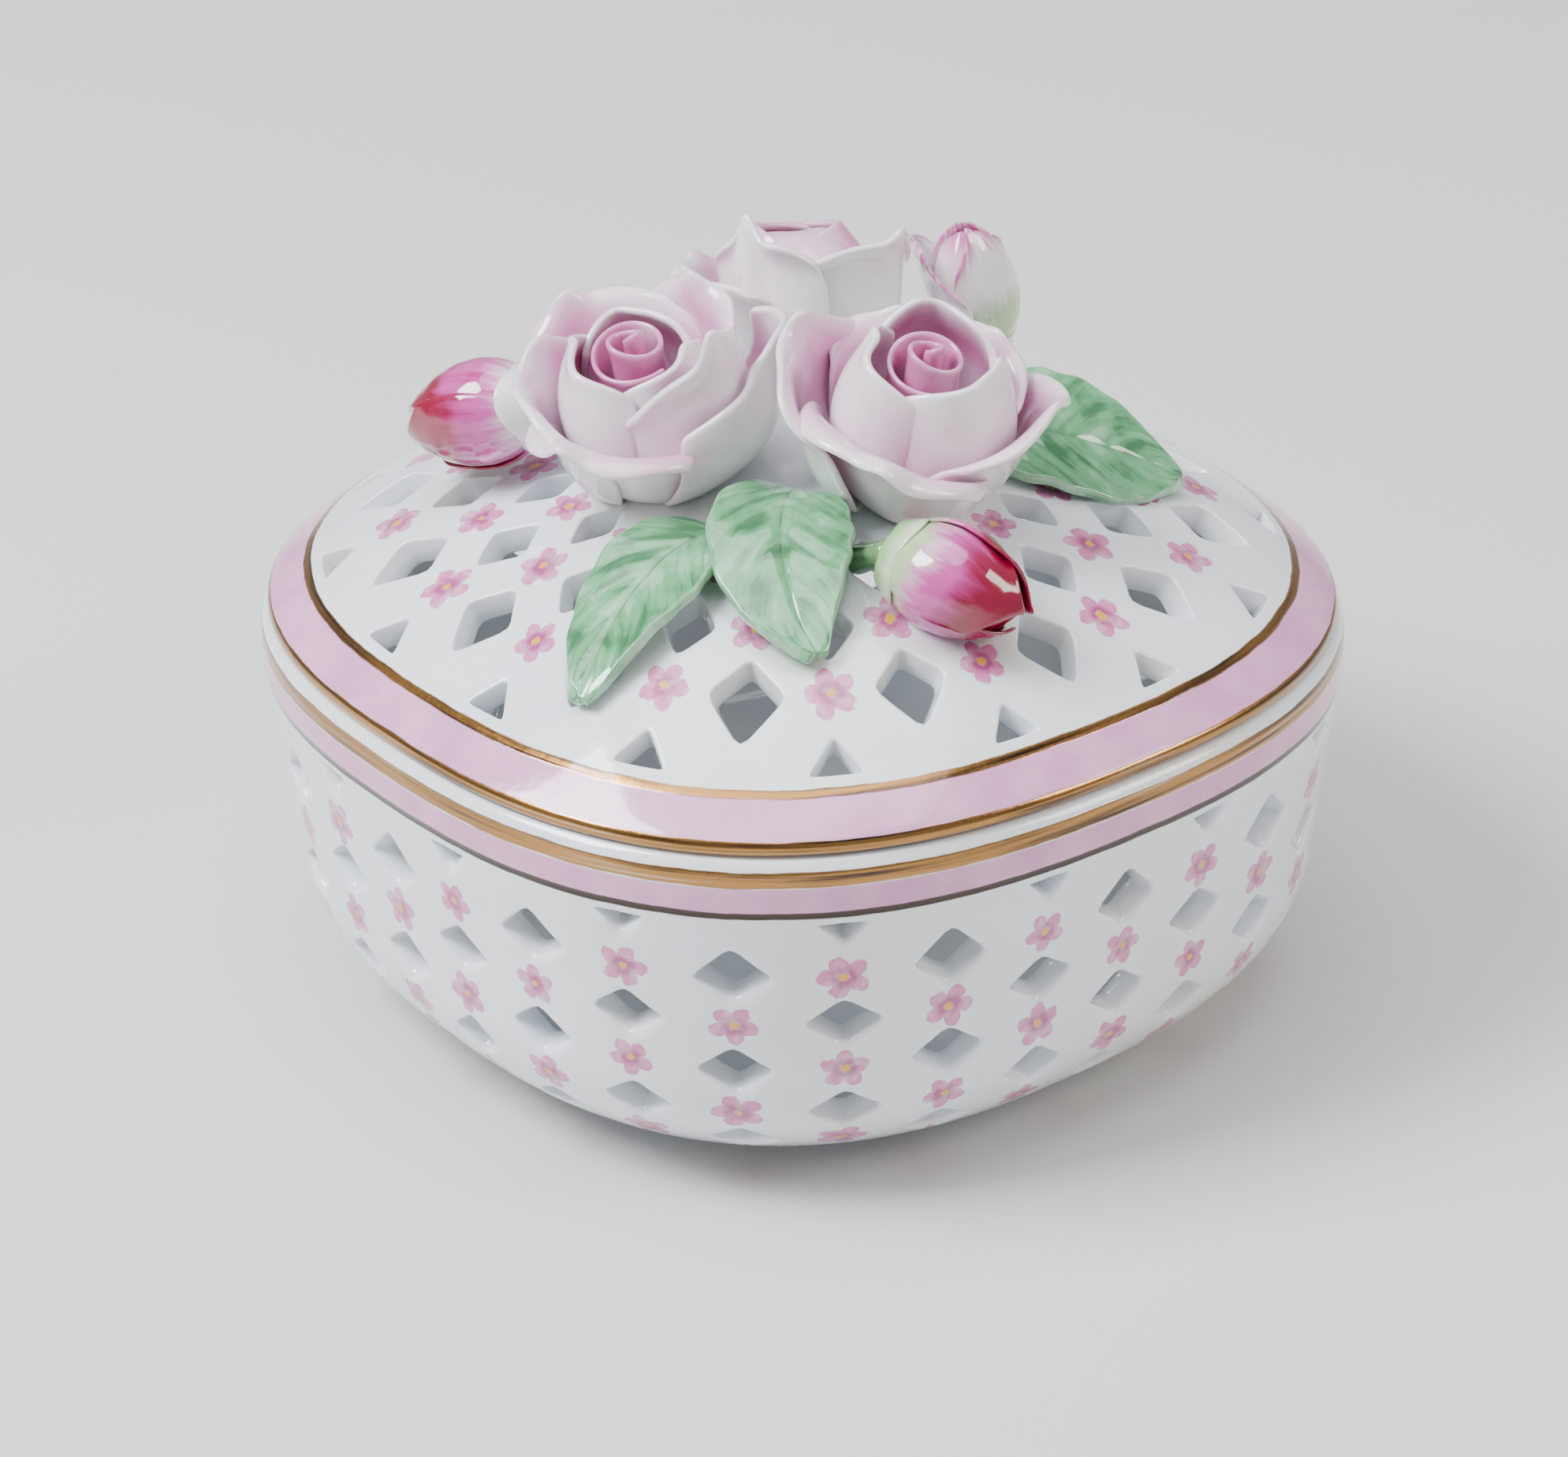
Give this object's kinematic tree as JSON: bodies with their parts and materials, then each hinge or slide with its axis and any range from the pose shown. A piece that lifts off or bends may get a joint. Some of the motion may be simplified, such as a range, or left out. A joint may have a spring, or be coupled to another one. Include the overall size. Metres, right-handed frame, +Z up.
{
  "type": "porcelain trinket box",
  "caption": "Rounded-square pierced porcelain box with a lift-off domed lid, for holding small trinkets; hand-built roses, buds and leaves stand on the lid.",
  "frame": {"origin": "centre of the foot ring, on the plane it rests on", "axes": "+Z up, out of the bowl; X and Y along the box's sides, with the corner under the front bud at -X -Y"},
  "size_m": [0.1168, 0.1168, 0.0882],
  "materials": {
    "porcelain": "clear gloss glaze on white porcelain, painted bands, gold lines and small flowers",
    "petal": "clear gloss glaze, white shaded with pale pink",
    "bud": "clear gloss glaze, white shaded to crimson",
    "leaf": "pearly gloss glaze, mid green"
  },
  "bodies": {
    "base": {"base_bowl": "porcelain"},
    "lid": {"lid_shell": "porcelain", "rose_left_heart": "petal", "rose_right_heart": "petal", "rose_back_heart": "petal", "rose_left_cup_petal_1": "petal", "rose_left_cup_petal_2": "petal", "rose_left_cup_petal_3": "petal", "rose_right_cup_petal_1": "petal", "rose_right_cup_petal_2": "petal", "rose_right_cup_petal_3": "petal", "rose_back_cup_petal_1": "petal", "rose_back_cup_petal_2": "petal", "rose_back_cup_petal_3": "petal", "rose_left_outer_petal_1": "petal", "rose_left_outer_petal_2": "petal", "rose_left_outer_petal_3": "petal", "rose_left_outer_petal_4": "petal", "rose_left_outer_petal_5": "petal", "rose_left_outer_petal_6": "petal", "rose_right_outer_petal_1": "petal", "rose_right_outer_petal_2": "petal", "rose_right_outer_petal_3": "petal", "rose_right_outer_petal_4": "petal", "rose_right_outer_petal_5": "petal", "rose_back_outer_petal_1": "petal", "rose_back_outer_petal_2": "petal", "rose_back_outer_petal_3": "petal", "rose_back_outer_petal_4": "petal", "rose_back_outer_petal_5": "petal", "rose_back_outer_petal_6": "petal", "bud_left": "bud", "bud_front": "bud", "bud_back": "bud", "calyx_left": "leaf", "calyx_front": "leaf", "calyx_back": "leaf", "leaf_left": "leaf", "leaf_middle": "leaf", "leaf_right": "leaf"}
  },
  "joints": [
    {"name": "lid_lift", "type": "slide", "parent": "base", "child": "lid", "axis": [0, 0, 1], "range_m": [0, 0.06]}
  ]
}
